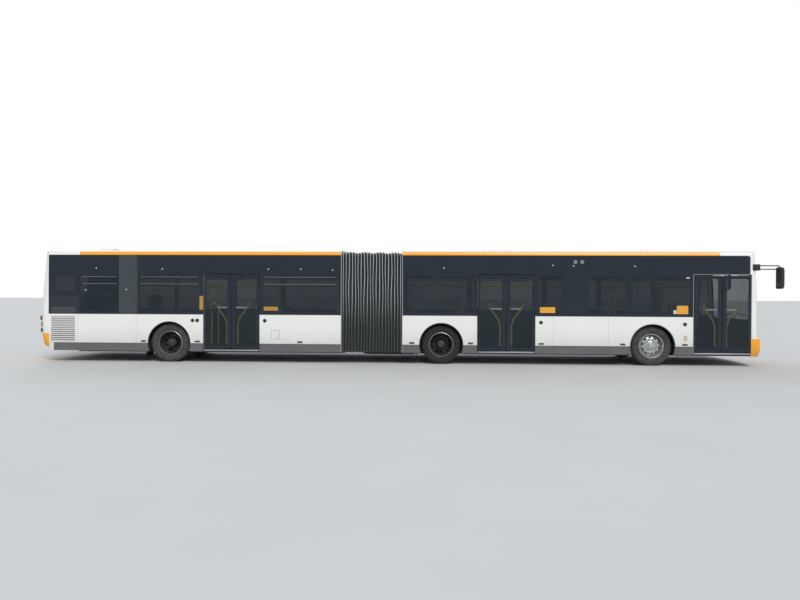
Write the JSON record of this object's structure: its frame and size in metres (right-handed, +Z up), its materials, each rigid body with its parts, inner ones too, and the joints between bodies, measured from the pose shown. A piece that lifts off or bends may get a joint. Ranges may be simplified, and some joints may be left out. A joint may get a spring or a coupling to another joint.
{
  "type": "articulated low-floor city bus",
  "caption": "Articulated low-floor city bus, white with an amber roof stripe and bumpers, with turning doors, steered front wheels and a pleated joint.",
  "frame": {"origin": "on the road, in the middle of the width and of the length over the mirrors", "axes": "+X forward, +Y to the left, +Z up; the doors are at -Y"},
  "size_m": [18.355, 2.7, 2.88],
  "materials": {
    "white_paint": "semi-gloss coach paint, white above a dark grey skirt",
    "amber_paint": "semi-gloss amber paint",
    "tinted_glass": "grey tinted glass with a black printed border",
    "clear_glass": "laminated windscreen glass",
    "lamp_glass": "clear lamp cover",
    "red_lamp": "red lamp glass",
    "black_plastic": "textured black plastic",
    "frame_steel": "dark chassis paint",
    "floor_cover": "grey floor covering",
    "seat_fabric": "blue-grey moquette on shell seats",
    "rail_paint": "yellow powder coat",
    "bellows_cloth": "coated grey cloth with pale fold edges",
    "louvre_paint": "white painted louvre",
    "engine_grey": "grey engine paint",
    "door_leaf": "tinted door glass in a black frame",
    "post_steel": "black powder coat",
    "tyre": "road worn rubber",
    "front_rim_steel": "bright steel wheel",
    "rim_steel": "dusty dark grey wheel"
  },
  "bodies": {
    "front_car": {"front_floor": "floor_cover", "front_underframe": "frame_steel", "front_right_side": "white_paint", "front_left_side": "white_paint", "front_roof": "white_paint", "front_mask": "white_paint", "front_bumper": "amber_paint", "windscreen": "clear_glass", "front_windows": "tinted_glass", "head_lamps": "lamp_glass", "mirrors": "black_plastic", "driver_desk": "black_plastic", "front_seats": "seat_fabric", "front_handrails": "rail_paint", "front_car_axles": "frame_steel"},
    "rear_car": {"bellows": "bellows_cloth", "rear_underframe": "frame_steel", "rear_floor": "floor_cover", "rear_right_side": "white_paint", "rear_left_side": "white_paint", "rear_roof": "white_paint", "rear_mask": "white_paint", "rear_bumper": "amber_paint", "rear_windows": "tinted_glass", "tail_lamps": "red_lamp", "engine_louvres": "louvre_paint", "rear_seats": "seat_fabric", "rear_handrails": "rail_paint", "rear_axle": "frame_steel", "engine": "engine_grey"},
    "engine_flap": {"engine_flap": "white_paint"},
    "left_knuckle": {"left_knuckle": "frame_steel"},
    "right_knuckle": {"right_knuckle": "frame_steel"},
    "front_left_wheel": {"front_left_tyre": "tyre", "front_left_rim": "front_rim_steel"},
    "front_right_wheel": {"front_right_tyre": "tyre", "front_right_rim": "front_rim_steel"},
    "middle_left_wheel": {"middle_left_tyres": "tyre", "middle_left_rims": "rim_steel"},
    "middle_right_wheel": {"middle_right_tyres": "tyre", "middle_right_rims": "rim_steel"},
    "rear_left_wheel": {"rear_left_tyres": "tyre", "rear_left_rims": "rim_steel"},
    "rear_right_wheel": {"rear_right_tyres": "tyre", "rear_right_rims": "rim_steel"},
    "door_1_front_post": {"door_1_front_post": "post_steel"},
    "door_1_front_leaf": {"door_1_front_leaf": "door_leaf"},
    "door_1_rear_post": {"door_1_rear_post": "post_steel"},
    "door_1_rear_leaf": {"door_1_rear_leaf": "door_leaf"},
    "door_2_front_post": {"door_2_front_post": "post_steel"},
    "door_2_front_leaf": {"door_2_front_leaf": "door_leaf"},
    "door_2_rear_post": {"door_2_rear_post": "post_steel"},
    "door_2_rear_leaf": {"door_2_rear_leaf": "door_leaf"},
    "door_3_front_post": {"door_3_front_post": "post_steel"},
    "door_3_front_leaf": {"door_3_front_leaf": "door_leaf"},
    "door_3_rear_post": {"door_3_rear_post": "post_steel"},
    "door_3_rear_leaf": {"door_3_rear_leaf": "door_leaf"}
  },
  "joints": [
    {"name": "articulation", "type": "hinge", "parent": "front_car", "child": "rear_car", "pos_m": [-0.713, 0, 0.2], "axis": [0, 0, 1], "range_deg": [-50, 50], "deforming": ["bellows"]},
    {"name": "left_steering", "type": "hinge", "parent": "front_car", "child": "left_knuckle", "pos_m": [6.1025, 0.9295, 0.4785], "axis": [0, 0, 1], "range_deg": [-45, 45]},
    {"name": "right_steering", "type": "hinge", "parent": "front_car", "child": "right_knuckle", "pos_m": [6.1025, -0.9295, 0.4785], "axis": [0, 0, 1], "range_deg": [-45, 45]},
    {"name": "front_left_wheel_turn", "type": "hinge", "parent": "left_knuckle", "child": "front_left_wheel", "pos_m": [6.1025, 1.0545, 0.4785], "axis": [0, 1, 0], "continuous": true},
    {"name": "front_right_wheel_turn", "type": "hinge", "parent": "right_knuckle", "child": "front_right_wheel", "pos_m": [6.1025, -1.0545, 0.4785], "axis": [0, 1, 0], "continuous": true},
    {"name": "middle_left_wheel_turn", "type": "hinge", "parent": "front_car", "child": "middle_left_wheel", "pos_m": [0.9975, 0.8945, 0.4785], "axis": [0, 1, 0], "continuous": true},
    {"name": "middle_right_wheel_turn", "type": "hinge", "parent": "front_car", "child": "middle_right_wheel", "pos_m": [0.9975, -0.8945, 0.4785], "axis": [0, 1, 0], "continuous": true},
    {"name": "rear_left_wheel_turn", "type": "hinge", "parent": "rear_car", "child": "rear_left_wheel", "pos_m": [-5.7725, 0.8945, 0.4785], "axis": [0, 1, 0], "continuous": true},
    {"name": "rear_right_wheel_turn", "type": "hinge", "parent": "rear_car", "child": "rear_right_wheel", "pos_m": [-5.7725, -0.8945, 0.4785], "axis": [0, 1, 0], "continuous": true},
    {"name": "engine_flap_lift", "type": "hinge", "parent": "rear_car", "child": "engine_flap", "pos_m": [-9.15774, 0, 1.56], "axis": [0, 1, 0], "range_deg": [0, 80]},
    {"name": "door_1_front_post_turn", "type": "hinge", "parent": "front_car", "child": "door_1_front_post", "pos_m": [8.4425, -1.164, 1.27], "axis": [0, 0, -1], "range_deg": [0, 94.14]},
    {"name": "door_1_front_leaf_turn", "type": "hinge", "parent": "door_1_front_post", "child": "door_1_front_leaf", "pos_m": [8.14015, -1.2275, 1.27], "axis": [0, 0, -1], "range_deg": [-184.19, 0]},
    {"name": "door_1_rear_post_turn", "type": "hinge", "parent": "front_car", "child": "door_1_rear_post", "pos_m": [7.0635, -1.164, 1.27], "axis": [0, 0, 1], "range_deg": [0, 94.16]},
    {"name": "door_1_rear_leaf_turn", "type": "hinge", "parent": "door_1_rear_post", "child": "door_1_rear_leaf", "pos_m": [7.36585, -1.2275, 1.27], "axis": [0, 0, 1], "range_deg": [-184.19, 0]},
    {"name": "door_2_front_post_turn", "type": "hinge", "parent": "front_car", "child": "door_2_front_post", "pos_m": [3.2845, -1.164, 1.27], "axis": [0, 0, -1], "range_deg": [0, 94.04]},
    {"name": "door_2_front_leaf_turn", "type": "hinge", "parent": "door_2_front_post", "child": "door_2_front_leaf", "pos_m": [2.97435, -1.2275, 1.27], "axis": [0, 0, -1], "range_deg": [-184.09, 0]},
    {"name": "door_2_rear_post_turn", "type": "hinge", "parent": "front_car", "child": "door_2_rear_post", "pos_m": [1.8745, -1.164, 1.27], "axis": [0, 0, 1], "range_deg": [0, 94.06]},
    {"name": "door_2_rear_leaf_turn", "type": "hinge", "parent": "door_2_rear_post", "child": "door_2_rear_leaf", "pos_m": [2.18465, -1.2275, 1.27], "axis": [0, 0, 1], "range_deg": [-184.09, 0]},
    {"name": "door_3_front_post_turn", "type": "hinge", "parent": "rear_car", "child": "door_3_front_post", "pos_m": [-3.4995, -1.164, 1.27], "axis": [0, 0, -1], "range_deg": [0, 94.04]},
    {"name": "door_3_front_leaf_turn", "type": "hinge", "parent": "door_3_front_post", "child": "door_3_front_leaf", "pos_m": [-3.80965, -1.2275, 1.27], "axis": [0, 0, -1], "range_deg": [-184.09, 0]},
    {"name": "door_3_rear_post_turn", "type": "hinge", "parent": "rear_car", "child": "door_3_rear_post", "pos_m": [-4.9095, -1.164, 1.27], "axis": [0, 0, 1], "range_deg": [0, 94.06]},
    {"name": "door_3_rear_leaf_turn", "type": "hinge", "parent": "door_3_rear_post", "child": "door_3_rear_leaf", "pos_m": [-4.59935, -1.2275, 1.27], "axis": [0, 0, 1], "range_deg": [-184.09, 0]}
  ],
  "couplings": [
    {"joint": "right_steering", "follows": "left_steering", "ratio": 1},
    {"joint": "door_1_front_leaf_turn", "follows": "door_1_front_post_turn", "ratio": -1.956},
    {"joint": "door_1_rear_leaf_turn", "follows": "door_1_front_post_turn", "ratio": -1.956},
    {"joint": "door_1_rear_post_turn", "follows": "door_1_front_post_turn", "ratio": 1},
    {"joint": "door_2_front_leaf_turn", "follows": "door_2_front_post_turn", "ratio": -1.9571},
    {"joint": "door_2_rear_leaf_turn", "follows": "door_2_front_post_turn", "ratio": -1.9571},
    {"joint": "door_2_rear_post_turn", "follows": "door_2_front_post_turn", "ratio": 1},
    {"joint": "door_3_front_leaf_turn", "follows": "door_3_front_post_turn", "ratio": -1.9571},
    {"joint": "door_3_rear_leaf_turn", "follows": "door_3_front_post_turn", "ratio": -1.9571},
    {"joint": "door_3_rear_post_turn", "follows": "door_3_front_post_turn", "ratio": 1}
  ]
}
